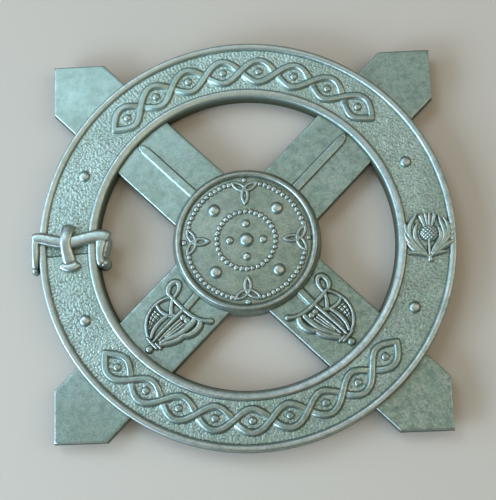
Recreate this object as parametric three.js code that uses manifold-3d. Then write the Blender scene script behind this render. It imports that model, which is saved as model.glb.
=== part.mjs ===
// Military cap badge in white metal: a strap ring with buckle and thistle over a saltire,
// two basket hilted swords and a round studded targe. The badge lies on its back, face up.
// Millimetres, +Z up out of the face, +Y to the badge's top, X to its right.
import * as THREE from 'three';
import { mergeVertices } from 'three/addons/utils/BufferGeometryUtils.js';
import Module from 'manifold-3d';

const wasm = await Module();
wasm.setup();

// Saltire plate
const halfSquare = 27;
const cornerCut = 7.3;
const plateThick = 1.3;
const plateDraft = 0.12;

// Strap ring
const strapOuter = 29;
const strapInner = 20.6;
const strapTop = 2.1;
const strapGround = 1.65;
const outerRim = { draft: 0.15, width: 1 };
const innerRim = { draft: 0.3, width: 1.2 };
const rimRound = 0.16;
const strapSheet = 1.05;
const channelWall = 1.3;
const ringSides = 64;

// Ornament raised on the strap: two arcs of plait with a pellet in each eye
const plaitRadius = 24.8;
const plaitSwing = 1.6;
const plaitWidth = 0.95;
const plaitRise = 0.42;
const plaitSteps = 5;
const plaitArcs = [
  { middle: 90, eyes: 8 },
  { middle: 270, eyes: 9 },
];
const eyeLength = 5.1;
const pelletRadius = 0.52;
const studRadius = 0.76;
const studRise = 0.45;
const studAngle = 24.5;

// Targe
const targeRadius = 10.4;
const targeTop = 2.4;
const targeFloor = 1.95;
const targeCrown = 0.15;
const targeWallDraft = 0.5;
const targeRim = 1.15;
const targeSheet = 1.15;
const targeSides = 48;
const beadRadius = 0.36;
const beadRise = 0.3;
const bossRadius = 0.98;
const bossRise = 0.6;
const outerBeads = { radius: 8.25, perQuarter: 13, gap: 15 };
const innerBeads = { radius: 4.25, count: 34 };
const rimPelletRadius = 8.6;
const targeStuds = [
  { count: 4, from: 45, radius: 6.15, size: 0.86, rise: 0.5 },
  { count: 4, from: 0, radius: 2.32, size: 0.57, rise: 0.4 },
];

// Knots of the targe: three arcs of cord, each bent about a point off the knot's middle
const knotRadius = 7.2;
const knotOffCentre = 1.66;
const knotBend = 1.84;
const knotHalfTurn = 68.6;
const knotSteps = 5;
const knotCord = 0.5;
const knotRise = 0.28;

// Swords on the arms: rows are [distance out along the arm, offset across it, width]
const bladeRise = 0.42;
const bladeRows = [[9.6, 0, 1.45], [18.9, 0, 1.45], [19.9, 0.12, 1.1], [20.25, 0.16, 0.8]];
const bladeStub = [[9.9, -0.12, 1.45], [12.8, -0.28, 1.45]];
const stubRise = 0.3;
const hiltBar = 0.56;
const hiltRise = 0.52;
const basketRise = 0.46;
const hiltPanelRise = 0.22;
const pommelPlace = [20.05, -0.57];
const pommelRadius = 0.58;
const knobPlace = [11.5, -4.05];
const knobRadius = 0.44;
const quillon = [[11.6, -4.0], [12.36, -2.96], [12.79, -1.44], [12.87, 0], [12.84, 1.34], [12.79, 2.3]];
const quillonLoop = [
  [12.79, 1.97], [12.65, 2.95], [11.9, 3.45], [11.1, 3.42], [10.74, 2.95], [11.2, 2.36], [12.05, 2.03],
];
const basketBars = [
  [[12.93, 2.34], [14.44, 2.95], [15.9, 3.0], [17.3, 2.48], [18.3, 1.65], [18.98, 0.52]],
  [[12.55, -3.1], [13.5, -3.5], [14.6, -3.36], [15.5, -2.75]],
  [[15.3, -2.8], [16.3, -2.64], [17.4, -2.12], [18.7, -1.16]],
  [[12.97, 1.9], [14.5, 0.6]],
  [[15.1, 0.9], [16.3, 1.12], [17.5, 0.98], [18.72, 0.36]],
  [[13.0, -0.2], [15.9, -0.13], [18.8, -0.24]],
  [[13.1, -2.36], [14.8, -2.3], [16.54, -1.84], [18.3, -1.12]],
];
const basketPanel = [
  [13.0, 2.3], [14.44, 2.9], [15.9, 2.95], [17.3, 2.4], [18.3, 1.6], [19.0, 0.5], [18.7, -1.1],
  [17.4, -2.1], [16.3, -2.6], [14.6, -3.3], [13.5, -3.45], [12.7, -3.1],
];
const collar = [[19.16, 0.6], [19.26, -1.3]];

// Buckle on the strap's left: rows are [x, y, width]. The legs start low, beside the strap.
const buckleTop = 2.65;
const legTop = 2.5;
const legLow = 0.2;
const buckleBar = [
  [-29.5, 1.5, 1.35], [-27.2, 1.16, 1.4], [-25, 0.84, 1.42], [-22.7, 1.2, 1.46], [-20, 1.42, 1.6],
];
const outerLeg = [[-29.36, 1.7, 1.2], [-29.36, -0.4, 1.15], [-29.42, -2.8, 0.95]];
const innerLeg = [[-19.95, 1.6, 1.9], [-20, 0.4, 1.75], [-20.15, -0.9, 1.45], [-20.1, -2.2, 1.2]];
const outerKnob = { place: [-29.5, -3.05], radius: 0.55, low: 1.2, rise: 1.1 };
const innerKnob = { place: [-19.85, -2.35], radius: 0.85, low: 0.5, rise: 1.9 };

// Tongue of the buckle: it comes over the bar and ends in a curved foot
const tongueTop = 2.95;
const tongueEnd = 2.45;
const footTop = 2.35;
const tongueUpper = [[-24.78, 3.1, 1.3], [-24.84, 2.4, 1.55], [-25.12, 1.2, 1.45]];
const tongueOver = [[-25.1, 1.7, 1.45], [-25.14, 0.85, 1.4], [-25.1, 0, 1.4]];
const tongueLower = [[-25.12, 0.4, 1.4], [-24.9, -1, 1.5], [-24.62, -2.5, 1.5]];
const tongueFoot = [[-25.75, -2.35, 0.7], [-24.6, -2.95, 1], [-23.5, -2.25, 0.8]];

// Thistle on the strap's right: rows are [x right of the stalk, y], the same for both leaves
const thistlePlace = 25;
const thistleBall = { place: [25, -0.27], radius: 1.2, rise: 0.74 };
const thistleTuft = [[0.62, 0.5], [1.2, 2.25], [0.6, 2.6], [-0.4, 2.6], [-1.1, 2.25], [-0.62, 0.5]];
const thistleTuftTop = 2.2;
const leafTop = 2.1;
const leafScale = 0.98;
const leafOutline = [
  [0.1, -3.3], [1.5, -3.1], [2.4, -2.9], [2.5, -2.2], [3.4, -1.5], [3.05, -0.8], [3.15, 0.4],
  [2.75, 1.5], [1.6, 2.5], [1.75, 1.1], [1.45, 0.5], [1.3, -0.8], [0.3, -2.5],
];
const stalk = [[25, -1], [24.98, -3.7]];
const stalkWidth = 0.5;
const stalkEnd = { place: [25.05, -3.74], radius: 0.42, rise: 0.5 };

// Two loops brazed into the back of the strap
const loopDrop = 1.6;
const loopWire = 0.6;
const loopHalfWidth = 1.55;
const loopPlace = 24.8;
const loopRoot = 1.25;
const loopBendSteps = 6;
const loopSteps = 12;
const loopRoundSides = 4;
const loopTension = 0.2;

// Shapes shared by all relief: how far it sinks in, a bar's flat crest, and a dome's shoulder
const sink = 0.15;
const crestShare = 0.5;
const shoulderOut = 0.72;
const shoulderUp = 0.7;
const beadSides = 6;
const cutLow = -1;
const degrees = Math.PI / 180;

function polar(radius, angle) {
  return [radius * Math.cos(angle * degrees), radius * Math.sin(angle * degrees)];
}

function solidOf(geometry) {
  geometry.deleteAttribute('normal');
  geometry.deleteAttribute('uv');
  const merged = mergeVertices(geometry, 1e-4);
  const mesh = new wasm.Mesh({
    numProp: 3,
    vertProperties: new Float32Array(merged.attributes.position.array),
    triVerts: new Uint32Array(merged.index.array),
  });
  return new wasm.Manifold(mesh);
}

function fuse(solids) {
  let layer = solids;
  while (layer.length > 1) {
    const next = [];
    for (let i = 0; i < layer.length; i += 2) {
      next.push(i + 1 < layer.length ? layer[i].add(layer[i + 1]) : layer[i]);
    }
    layer = next;
  }
  return layer[0];
}

// Solid through a row of sections, each a ring of points that runs anticlockwise
// when it is seen from the last section.
function loft(sections) {
  const sides = sections[0].length;
  const points = sections.flat();
  const faces = [];
  for (let row = 0; row + 1 < sections.length; row += 1) {
    for (let i = 0; i < sides; i += 1) {
      const a = row * sides + i;
      const b = row * sides + ((i + 1) % sides);
      faces.push(a, b, b + sides, a, b + sides, a + sides);
    }
  }
  return closeEnds(points, faces, sections);
}

function closeEnds(points, faces, sections) {
  const sides = sections[0].length;
  const last = points.length - sides;
  const flat = flatten(sections[sections.length - 1]);
  for (const [a, b, c] of THREE.ShapeUtils.triangulateShape(flat, [])) {
    faces.push(last + a, last + b, last + c);
    faces.push(a, c, b);
  }
  const geometry = new THREE.BufferGeometry();
  geometry.setAttribute('position', new THREE.Float32BufferAttribute(points.flat(), 3));
  geometry.setIndex(faces);
  return solidOf(geometry);
}

// A section's points in its own plane, so that its cap can be cut into triangles
function flatten(section) {
  const p = section.map((point) => new THREE.Vector3(...point));
  const across = p[1].clone().sub(p[0]).normalize();
  const normal = new THREE.Vector3();
  for (let i = 0; i < p.length; i += 1) {
    normal.add(p[i].clone().cross(p[(i + 1) % p.length]));
  }
  const up = normal.normalize().clone().cross(across);
  return p.map((point) => new THREE.Vector2(point.dot(across), point.dot(up)));
}

function levelLoft(outlines, levels) {
  return loft(outlines.map((outline, row) => outline.map(([x, y]) => [x, y, levels[row]])));
}

// Raised bar with sloping flanks along a path of [x, y] or [x, y, width] points
function raisedBar(path, width, low, high, closed = false) {
  const count = path.length;
  const sections = path.map(([x, y, own], i) => {
    const before = path[closed ? (i + count - 1) % count : Math.max(i - 1, 0)];
    const after = path[closed ? (i + 1) % count : Math.min(i + 1, count - 1)];
    const along = new THREE.Vector2(after[0] - before[0], after[1] - before[1]).normalize();
    const foot = (own ?? width) / 2;
    const crest = foot * crestShare;
    return [[-foot, low], [foot, low], [crest, high], [-crest, high]].map(
      ([side, level]) => [x + side * along.y, y - side * along.x, level],
    );
  });
  return closed ? hoop(sections) : loft(sections.reverse());
}

function hoop(sections) {
  const sides = sections[0].length;
  const faces = [];
  for (let row = 0; row < sections.length; row += 1) {
    const next = (row + 1) % sections.length;
    for (let i = 0; i < sides; i += 1) {
      const j = (i + 1) % sides;
      faces.push(row * sides + i, next * sides + j, row * sides + j);
      faces.push(row * sides + i, next * sides + i, next * sides + j);
    }
  }
  const geometry = new THREE.BufferGeometry();
  geometry.setAttribute('position', new THREE.Float32BufferAttribute(sections.flat(2), 3));
  geometry.setIndex(faces);
  return solidOf(geometry);
}

function turned(profile, sides) {
  const points = profile.map(([radius, level]) => new THREE.Vector2(radius, level));
  const geometry = new THREE.LatheGeometry(points, sides);
  geometry.rotateX(Math.PI / 2);
  return solidOf(geometry);
}

function dome([x, y], radius, low, rise, sides) {
  const profile = [[0, low - sink], [radius, low - sink], [radius, low]];
  profile.push([radius * shoulderOut, low + rise * shoulderUp], [0, low + rise]);
  return turned(profile, sides).translate([x, y, 0]);
}

function bead([x, y], radius, low, rise) {
  return turned([[0, low - sink], [radius, low - sink], [0, low + rise]], beadSides).translate([x, y, 0]);
}

// Sheet saltire: a diagonal cross trimmed by a square
function saltire() {
  const outline = (half, cut) => {
    const points = [];
    for (let turn = 0; turn < 4; turn += 1) {
      const corner = [[half - cut, -half], [half, -half], [half, cut - half], [cut, 0]];
      const [cos, sin] = [Math.cos(turn * Math.PI / 2), Math.sin(turn * Math.PI / 2)];
      points.push(...corner.map(([x, y]) => [x * cos - y * sin, x * sin + y * cos]));
    }
    return points;
  };
  const upper = outline(halfSquare - plateDraft, cornerCut - plateDraft * 1.4);
  return levelLoft([outline(halfSquare, cornerCut), upper], [0, plateThick]);
}

function rimProfile(edge, inward, { draft, width }) {
  return [
    [edge, 0],
    [edge + inward * draft, strapTop - rimRound],
    [edge + inward * (draft + rimRound), strapTop],
    [edge + inward * (draft + width - rimRound), strapTop],
    [edge + inward * (draft + width), strapGround],
  ];
}

function strapRing() {
  const outer = rimProfile(strapOuter, -1, outerRim);
  const inner = rimProfile(strapInner, 1, innerRim).reverse();
  return turned([...outer, ...inner, outer[0]], ringSides);
}

// The hollow that striking leaves in the back of the strap
function strapHollow() {
  const roof = strapGround - strapSheet;
  const outer = strapOuter - channelWall;
  const inner = strapInner + channelWall;
  const draft = roof / 2;
  const roofEdges = [[outer - draft, roof], [inner + draft, roof]];
  return turned([[inner, cutLow], [outer, cutLow], ...roofEdges, [inner, cutLow]], ringSides);
}

function targeDisc() {
  const profile = [
    [0, 0],
    [targeRadius, 0],
    [targeRadius - targeWallDraft, targeTop - rimRound],
    [targeRadius - targeWallDraft - rimRound, targeTop],
    [targeRadius - targeRim, targeTop],
    [targeRadius - targeRim - rimRound, targeFloor],
    [targeRadius / 2, targeFloor + targeCrown * 0.75],
    [0, targeFloor + targeCrown],
  ];
  return turned(profile, targeSides);
}

function targeHollow() {
  const roof = targeFloor - targeSheet;
  const edge = targeRadius - channelWall;
  return turned([[0, cutLow], [edge, cutLow], [edge - roof, roof], [0, roof]], targeSides);
}

function plait({ middle, eyes }) {
  const halfSpan = (eyes * eyeLength) / plaitRadius / degrees / 2;
  const solids = [];
  for (const way of [1, -1]) {
    const path = [];
    for (let i = 0; i <= eyes * plaitSteps; i += 1) {
      const share = i / (eyes * plaitSteps);
      const radius = plaitRadius + way * plaitSwing * Math.sin(share * eyes * Math.PI);
      path.push(polar(radius, middle - halfSpan + 2 * halfSpan * share));
    }
    solids.push(raisedBar(path, plaitWidth, strapGround - sink, strapGround + plaitRise));
  }
  for (let i = 0; i < eyes; i += 1) {
    const angle = middle - halfSpan + (2 * halfSpan * (i + 0.5)) / eyes;
    solids.push(bead(polar(plaitRadius, angle), pelletRadius, strapGround, plaitRise));
  }
  return solids;
}

function strapStuds() {
  const angles = [studAngle, 180 - studAngle, 180 + studAngle, 360 - studAngle];
  return angles.map((angle) => dome(polar(plaitRadius, angle), studRadius, strapGround, studRise, 8));
}

function targeRelief() {
  const solids = [dome([0, 0], bossRadius, targeFloor + targeCrown - 0.1, bossRise, 10)];
  for (const { count, from, radius, size, rise } of targeStuds) {
    for (let i = 0; i < count; i += 1) {
      solids.push(dome(polar(radius, from + (360 / count) * i), size, targeFloor, rise, 8));
    }
  }
  for (let i = 0; i < innerBeads.count; i += 1) {
    const place = polar(innerBeads.radius, (360 / innerBeads.count) * (i + 0.5));
    solids.push(bead(place, beadRadius, targeFloor + targeCrown / 2, beadRise));
  }
  for (let quarter = 0; quarter < 4; quarter += 1) {
    const span = 90 - 2 * outerBeads.gap;
    for (let i = 0; i < outerBeads.perQuarter; i += 1) {
      const angle = quarter * 90 + outerBeads.gap + (span * i) / (outerBeads.perQuarter - 1);
      solids.push(bead(polar(outerBeads.radius, angle), beadRadius, targeFloor, beadRise));
    }
    solids.push(bead(polar(rimPelletRadius, quarter * 90), beadRadius, targeFloor, beadRise));
    solids.push(...knot(quarter * 90));
  }
  return solids;
}

// Three arcs cross near the knot's middle and meet in three points, one to the centre of the targe
function knot(angle) {
  const middle = polar(knotRadius, angle);
  return [60, 180, 300].map((turn) => {
    const [x, y] = polar(knotOffCentre, angle + turn + 180);
    const path = [];
    for (let i = 0; i <= knotSteps; i += 1) {
      const swing = knotHalfTurn * ((2 * i) / knotSteps - 1);
      const [along, across] = polar(knotBend, angle + turn + swing);
      path.push([middle[0] + x + along, middle[1] + y + across]);
    }
    return raisedBar(path, knotCord, targeFloor - sink, targeFloor + knotRise);
  });
}

function onArm(angle, side, table) {
  const [along, across] = [polar(1, angle), polar(1, angle + 90)];
  return table.map(([out, off, width]) => [
    out * along[0] + off * side * across[0],
    out * along[1] + off * side * across[1],
    width,
  ]);
}

function blade(angle) {
  return raisedBar(onArm(angle, 1, bladeRows), 0, plateThick - sink, plateThick + bladeRise);
}

function hilt(angle, side) {
  const low = plateThick - sink;
  const bar = (table, rise, closed) => (
    raisedBar(onArm(angle, side, table), hiltBar, low, plateThick + rise, closed)
  );
  const outline = onArm(angle, side, basketPanel).map(([x, y]) => [x, y]);
  const panel = side > 0 ? outline.reverse() : outline;
  const ring = side > 0 ? [...quillonLoop].reverse() : quillonLoop;
  return [
    bar(quillon, hiltRise),
    bar(ring, hiltRise, true),
    bar(collar, hiltRise),
    bar(bladeStub, stubRise),
    ...basketBars.map((table) => bar(table, basketRise)),
    levelLoft([panel, panel], [low, plateThick + hiltPanelRise]),
    dome(onArm(angle, side, [pommelPlace])[0], pommelRadius, plateThick, hiltRise, 8),
    dome(onArm(angle, side, [knobPlace])[0], knobRadius, plateThick, hiltRise, 6),
  ];
}

// Buckle frame with rolled legs, and a tongue that loops over its bar
function buckle() {
  const low = strapGround - sink;
  return [
    raisedBar(buckleBar, 0, low, buckleTop),
    raisedBar(outerLeg, 0, legLow, legTop),
    raisedBar(innerLeg, 0, legLow, legTop),
    dome(outerKnob.place, outerKnob.radius, outerKnob.low, outerKnob.rise, 8),
    dome(innerKnob.place, innerKnob.radius, innerKnob.low, innerKnob.rise, 8),
    raisedBar(tongueUpper, 0, low, tongueEnd),
    raisedBar(tongueOver, 0, low, tongueTop),
    raisedBar(tongueLower, 0, low, tongueEnd),
    raisedBar(tongueFoot, 0, low, footTop),
  ];
}

// Thistle: ball, tuft, stalk and two jagged leaves
function thistle() {
  const low = strapGround - sink;
  const leaf = leafOutline.map(([x, y]) => [thistlePlace + x * leafScale, y]);
  const farLeaf = leafOutline.map(([x, y]) => [thistlePlace - x * leafScale, y]).reverse();
  const tuft = thistleTuft.map(([x, y]) => [thistlePlace + x, y]);
  return [
    levelLoft([leaf, leaf], [low, leafTop]),
    levelLoft([farLeaf, farLeaf], [low, leafTop]),
    levelLoft([tuft, tuft], [low, thistleTuftTop]),
    dome(thistleBall.place, thistleBall.radius, strapGround, thistleBall.rise, 10),
    raisedBar(stalk, stalkWidth, low, thistleTuftTop),
    dome(stalkEnd.place, stalkEnd.radius, strapGround, stalkEnd.rise, 6),
  ];
}

// Wire loop that a split pin holds behind the cap: two legs and a round end
function backLoop(x) {
  const bend = loopHalfWidth - loopWire;
  const wire = new THREE.Shape();
  wire.absarc(0, 0, loopWire, 0, 2 * Math.PI, false);
  const at = (y, z) => new THREE.Vector3(x, y, z);
  const turnLevel = loopWire + bend - loopDrop;
  const points = [at(-bend, loopRoot)];
  for (let i = 0; i <= loopBendSteps; i += 1) {
    const angle = Math.PI + (Math.PI * i) / loopBendSteps;
    points.push(at(bend * Math.cos(angle), turnLevel + bend * Math.sin(angle)));
  }
  points.push(at(bend, loopRoot));
  const curve = new THREE.CatmullRomCurve3(points, false, 'catmullrom', loopTension);
  const sweep = { extrudePath: curve, steps: loopSteps, curveSegments: loopRoundSides };
  return solidOf(new THREE.ExtrudeGeometry(wire, sweep));
}

function badgeSolid() {
  const plate = fuse([saltire(), strapRing(), targeDisc()]);
  const struck = plate.subtract(strapHollow()).subtract(targeHollow());
  const relief = [
    ...plaitArcs.flatMap(plait),
    ...strapStuds(),
    ...targeRelief(),
    blade(45),
    blade(135),
    ...hilt(225, -1),
    ...hilt(315, 1),
    ...buckle(),
    ...thistle(),
    backLoop(loopPlace),
    backLoop(-loopPlace),
  ];
  return fuse([struck, fuse(relief)]);
}

function meshOf(solid) {
  const { vertProperties, triVerts } = solid.getMesh();
  const geometry = new THREE.BufferGeometry();
  geometry.setAttribute('position', new THREE.Float32BufferAttribute(vertProperties, 3));
  geometry.setIndex(Array.from(triVerts));
  geometry.computeVertexNormals();
  return geometry;
}

const whiteMetal = new THREE.MeshStandardMaterial({ color: 0x8fa39a, roughness: 0.42, metalness: 0.9 });
const badge = new THREE.Mesh(meshOf(badgeSolid()), whiteMetal);
badge.name = 'badge';
badge.geometry.computeBoundingBox();
const reach = badge.geometry.boundingBox;
badge.position.set(-(reach.min.x + reach.max.x) / 2, 0, -reach.min.z);

const group = new THREE.Group();
group.add(badge);

export default group;
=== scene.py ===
"""Military cap badge in tarnished white metal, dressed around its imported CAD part."""

import math

import bmesh
import bpy
import numpy as np
from mathutils import Euler, Matrix, Vector


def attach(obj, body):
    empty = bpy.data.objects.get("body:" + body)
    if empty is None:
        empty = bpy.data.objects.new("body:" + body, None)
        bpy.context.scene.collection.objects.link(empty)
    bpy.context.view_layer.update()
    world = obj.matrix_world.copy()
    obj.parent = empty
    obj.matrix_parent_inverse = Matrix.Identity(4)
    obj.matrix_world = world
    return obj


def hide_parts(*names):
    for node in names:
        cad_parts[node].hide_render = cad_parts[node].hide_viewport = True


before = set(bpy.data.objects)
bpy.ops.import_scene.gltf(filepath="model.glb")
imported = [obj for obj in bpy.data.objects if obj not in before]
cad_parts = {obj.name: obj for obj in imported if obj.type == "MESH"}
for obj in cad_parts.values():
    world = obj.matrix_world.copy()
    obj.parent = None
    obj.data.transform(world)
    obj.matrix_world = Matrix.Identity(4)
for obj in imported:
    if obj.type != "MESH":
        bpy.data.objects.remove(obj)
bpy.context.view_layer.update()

# Camera. It looks nearly square on to the badge's face, from a little below and right of its middle.
# Its place is given from the middle of the strap ring, in the plane of the arms' face.
MILLIMETRE = 0.001
RING_MIDDLE = np.array([0.525, 0.0, 1.6])
SHEET_THICK = 1.3
FOCAL_IN_PIXELS = 1209.1
PICTURE_WIDTH = 496
SENSOR_WIDTH = 36.0
CLIP_RANGE = (0.01, 10.0)
CAMERA_TURN = (-12.519, -2.169, 2.488)
CAMERA_SHIFT = Vector((-0.194, 1.223, -167.741))

camera_data = bpy.data.cameras.new("viewpoint")
camera_data.sensor_fit = "HORIZONTAL"
camera_data.sensor_width = SENSOR_WIDTH
camera_data.lens = FOCAL_IN_PIXELS / PICTURE_WIDTH * SENSOR_WIDTH
camera_data.clip_start, camera_data.clip_end = CLIP_RANGE
camera = bpy.data.objects.new("viewpoint", camera_data)
to_camera = Euler([math.radians(angle) for angle in CAMERA_TURN], "XYZ").to_matrix()
from_camera = to_camera.transposed()
arm_face_middle = Vector(RING_MIDDLE + np.array([0.0, 0.0, SHEET_THICK]))
camera_place = (from_camera @ -CAMERA_SHIFT + arm_face_middle) * MILLIMETRE
camera.matrix_world = Matrix.Translation(camera_place) @ from_camera.to_4x4()
bpy.context.collection.objects.link(camera)
bpy.context.scene.camera = camera

# Saltire. Nickel silver sheet, blanked to a diagonal cross that a square trims, with a worn edge all round.
# The strap and the targe cover its middle and cross it, so it is made as four inner arms and four tips. Its
# back lies a hair above the ring's and the targe's, so that no two faces share a plane.
ARM_HALF_WIDTH = 7.3 / math.sqrt(2)
HALF_SQUARE = 27.0
ARM_TURNS = (45, 135, 225, 315)
ARM_BACK = 0.03
ARM_EDGE = ((0.0, ARM_BACK), (0.02, 0.08), (0.10, 1.10), (0.13, 1.2), (0.19, 1.27), (0.29, SHEET_THICK))
ARM_COLUMNS = 31
ARM_ROWS = 36
INNER_ARM_REACH = (9.8, 21.3)
TIP_START = 28.2
ARM_END_STEP = 0.05
EDGE_WEAR = 0.7
# Below this level the sheet's side walls are painted dark, as painted shade.
EDGE_SHADE = -0.7
EDGE_SHADE_LEVEL = 1.15
MERGE_DISTANCE = 1e-7

# The film's clouds show more towards the lower right, so that it is darker there. Its clouds are (size in
# millimetres, detail, low, high), and each shows by (share times that lean, share everywhere).
SAGE_LIGHT = (0.42, 0.565, 0.515, 1.0)
SAGE_DARK = (0.335, 0.46, 0.405, 1.0)
STAIN = (0.31, 0.40, 0.285, 1.0)
BLUSH = (0.50, 0.53, 0.52, 1.0)
# Olive black, of deposits and of painted shade.
GRIME_AND_SHADE = (0.055, 0.062, 0.030, 1.0)
BARE_METAL = (0.66, 0.65, 0.63, 1.0)
LOWER_RIGHT_LEAN = 14.0
LOWER_RIGHT_MIDDLE = 0.62
CLOUDS = (
    (4.5, 3.0, 0.35, 0.65), (9.0, 4.0, 0.45, 0.7), (1.3, 3.0, 0.42, 0.7), (0.8, 5.0, 0.42, 0.68),
    (0.3, 2.0, 0.62, 0.72), (0.26, 3.0, 0.25, 0.75), (2.4, 2.0, 0.2, 0.8),
)
CLOUD_SHARES = ((0.5, 0.5), (0.5, 0.25), (0.5, 0.15), (1.5, 0.1), (1.4, 0.1), (0.8, 0.1))
SHADOW_SHARE = 0.5
CREVICE_SLOPE = 1.8
CREVICE_START = 0.3
CREVICE_RAYS = 8
BARE_SHARE = 0.85
BARE_UNDER_MOTTLE = 0.5
METALLIC = 0.94
METALLIC_LOST = 0.5
ROUGHER_BY = (0.06, 0.08, 0.22)
SMOOTHER_BY = 0.16
GRIT_DEPTH = 0.00004
DENT_DEPTH = 0.0001
DENT_STRENGTH = 0.12


class Patina:
    """A value that varies over the metal: sums and products of it add Math nodes."""

    def __init__(self, finish, socket):
        self.finish = finish
        self.socket = socket

    def worked(self, operation, first, second):
        return self.finish.value("ShaderNodeMath", {0: first, 1: second}, operation=operation)

    def __add__(self, other):
        return self.worked("ADD", self, other)

    def __sub__(self, other):
        return self.worked("SUBTRACT", self, other)

    def __rsub__(self, other):
        return self.worked("SUBTRACT", other, self)

    def __mul__(self, other):
        return self.worked("MULTIPLY", self, other)

    def within(self):
        return self.finish.value("ShaderNodeClamp", {0: self})


class MetalFinish:
    """The node tree of one finish of the badge's metal."""

    def __init__(self, name):
        self.material = bpy.data.materials.new(name)
        self.material.use_nodes = True
        self.tree = self.material.node_tree
        self.tree.nodes.clear()

    def node(self, kind, sockets, **settings):
        node = self.tree.nodes.new(kind)
        for key, value in settings.items():
            setattr(node, key, value)
        for key, value in sockets.items():
            if isinstance(value, Patina):
                self.tree.links.new(value.socket, node.inputs[key])
            elif isinstance(value, bpy.types.NodeSocket):
                self.tree.links.new(value, node.inputs[key])
            else:
                node.inputs[key].default_value = value
        return node

    def value(self, kind, sockets, output=0, **settings):
        return Patina(self, self.node(kind, sockets, **settings).outputs[output])

    def cloud(self, size, detail, low, high):
        """Soft noise whose patches are about that many millimetres across."""
        place = self.node("ShaderNodeTexCoord", {}).outputs["Object"]
        noise = self.value(
            "ShaderNodeTexNoise", {"Vector": place, "Scale": 1 / (size * MILLIMETRE), "Detail": detail}
        )
        return ((noise - low) * (1 / (high - low))).within()

    def blend(self, share, first, second):
        return self.node("ShaderNodeMix", {0: share, 6: first, 7: second}, data_type="RGBA").outputs[2]


def white_metal(
    name, light=SAGE_LIGHT, dark=SAGE_DARK, crevice_dirt_and_shade=0.6, rough=0.4, spots=0.3, crevice=0.6, grain=0.25
):
    """Tarnished nickel silver: clouded sage film, olive patina and painted shade in the crevices, painted
    shade on walls, rubbed crests showing the metal.
    """
    finish = MetalFinish(name)
    patches, stains, blushes, mottle, specks, grit, dents = [finish.cloud(*cloud) for cloud in CLOUDS]
    where = finish.node("ShaderNodeTexCoord", {}).outputs["Object"]
    right = finish.value("ShaderNodeSeparateXYZ", {0: where}, output=0)
    up = finish.value("ShaderNodeSeparateXYZ", {0: where}, output=1)
    # More clouding, and so a darker film, towards the lower right.
    lower_right_clouding = ((right - up) * LOWER_RIGHT_LEAN + LOWER_RIGHT_MIDDLE).within()
    reach = {"Distance": crevice * MILLIMETRE}
    open_air = finish.value("ShaderNodeAmbientOcclusion", reach, output=1, samples=CREVICE_RAYS)
    wear_dirt_and_shade_mark = finish.value("ShaderNodeAttribute", {}, output=2, attribute_name="wear_dirt_and_shade")
    # Marks above zero are rubbing and show the metal; marks below zero are olive deposits and painted shade.
    wear_dirt_and_shade = wear_dirt_and_shade_mark.within()
    # Ambient occlusion darkens the crevices: olive deposits there, and painted shade as well.
    crevices = ((1 - open_air) * CREVICE_SLOPE - CREVICE_START).within()
    dirt_and_shade = (crevices * crevice_dirt_and_shade + (0 - wear_dirt_and_shade_mark).within()).within()
    shadow = tuple(SHADOW_SHARE * shade for shade in dark[:3]) + (1.0,)
    layers = zip(
        (patches, stains, blushes, mottle, specks, grit),
        (dark, STAIN, BLUSH, shadow, GRIME_AND_SHADE, shadow),
        (1.0, 1.0, 1.0, spots, spots, 1.0),
        CLOUD_SHARES,
    )
    film = light
    for cloud, colour, strength, (lower_right_share, everywhere) in layers:
        film = finish.blend(cloud * (lower_right_clouding * lower_right_share + everywhere) * strength, film, colour)
    film = finish.blend(wear_dirt_and_shade * (BARE_SHARE - mottle * BARE_UNDER_MOTTLE), film, BARE_METAL)
    # Olive deposits and painted shade darken the film towards olive black.
    film = finish.blend(dirt_and_shade, film, GRIME_AND_SHADE)
    roughness = patches * ROUGHER_BY[0] + mottle * ROUGHER_BY[1] + dirt_and_shade * ROUGHER_BY[2] + rough
    skin = finish.node("ShaderNodeBump", {"Strength": grain, "Distance": GRIT_DEPTH, "Height": grit})
    dented = {"Strength": DENT_STRENGTH, "Distance": DENT_DEPTH, "Height": dents, "Normal": skin.outputs[0]}
    metal = finish.node(
        "ShaderNodeBsdfPrincipled",
        {
            "Base Color": film,
            "Metallic": METALLIC - dirt_and_shade * METALLIC_LOST,
            "Roughness": (roughness - wear_dirt_and_shade * SMOOTHER_BY).within(),
            "Normal": finish.node("ShaderNodeBump", dented).outputs[0],
        },
    )
    finish.node("ShaderNodeOutputMaterial", {"Surface": metal.outputs[0]})
    return finish.material


def struck_piece(name, islands, finish, crease=40):
    """Makes one piece of closed islands (points, faces, marks), in millimetres from the ring's middle; marks
    below zero darken, as olive deposits in hollows and painted shade on walls.
    """
    points = np.vstack([island[0] for island in islands])
    wear_dirt_and_shade = np.concatenate([np.broadcast_to(island[2], len(island[0])) for island in islands])
    faces = []
    first = 0
    for spots, loops, _ in islands:
        faces.extend([tuple(int(first + corner) for corner in loop) for loop in loops])
        first += len(spots)
    mesh = bpy.data.meshes.new(name)
    mesh.from_pydata(((points + RING_MIDDLE) * MILLIMETRE).tolist(), [], faces)
    # Each point's mark: rubbing above zero, olive deposits and painted shade below zero.
    wear_dirt_and_shade_layer = mesh.attributes.new("wear_dirt_and_shade", "FLOAT", "POINT")
    wear_dirt_and_shade_layer.data.foreach_set("value", np.ascontiguousarray(wear_dirt_and_shade, dtype=np.float32))
    form = bmesh.new()
    form.from_mesh(mesh)
    bmesh.ops.remove_doubles(form, verts=form.verts, dist=MERGE_DISTANCE)
    bmesh.ops.recalc_face_normals(form, faces=form.faces)
    form.to_mesh(mesh)
    form.free()
    mesh.shade_smooth()
    mesh.set_sharp_from_angle(angle=math.radians(crease))
    mesh.materials.append(finish)
    piece = bpy.data.objects.new(name, mesh)
    bpy.context.collection.objects.link(piece)
    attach(piece, "root")
    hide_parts("badge")


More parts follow.
